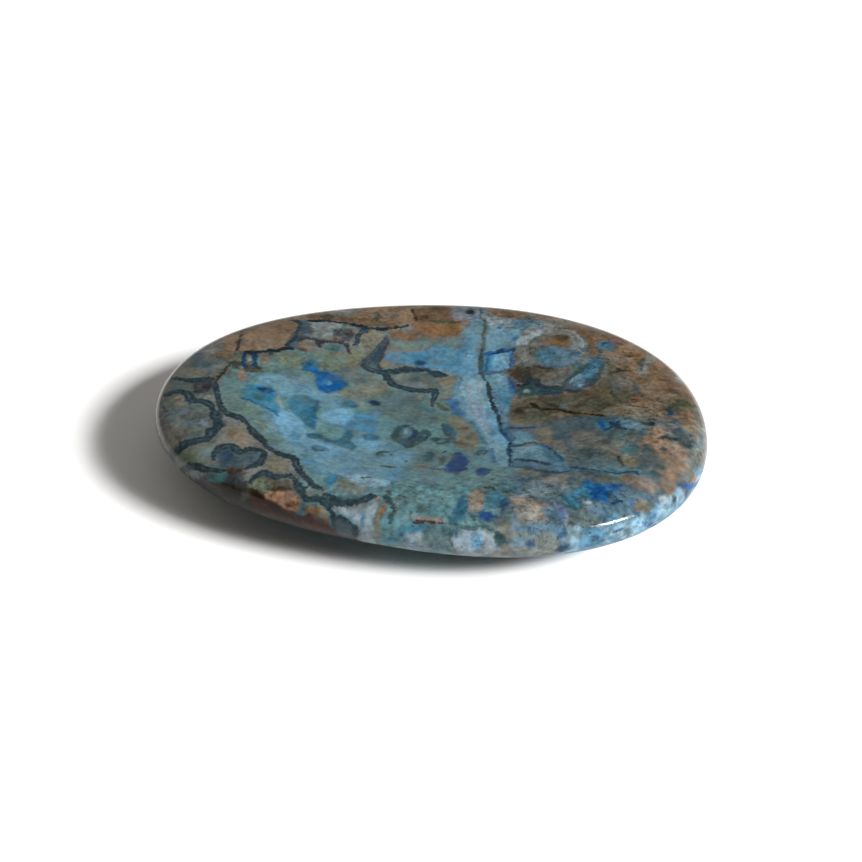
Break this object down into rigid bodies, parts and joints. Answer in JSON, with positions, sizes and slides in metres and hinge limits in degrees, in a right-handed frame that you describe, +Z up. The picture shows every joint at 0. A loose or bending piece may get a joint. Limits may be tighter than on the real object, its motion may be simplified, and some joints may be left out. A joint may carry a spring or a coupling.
{
  "type": "worry stone",
  "caption": "Oval polished worry stone of crazy lace agate with a shallow thumb hollow in its top and a domed underside cut to a small flat spot.",
  "frame": {"origin": "middle of the stone's plan at the height of the flat spot that it rests on", "axes": "+X along the long axis towards the blunter end, +Z up out of the thumb hollow"},
  "size_m": [0.045, 0.0348, 0.0068],
  "materials": {
    "agate": "polished, banded brown, grey, teal and blue"
  },
  "bodies": {
    "root": {"worry_stone": "agate"}
  },
  "joints": []
}
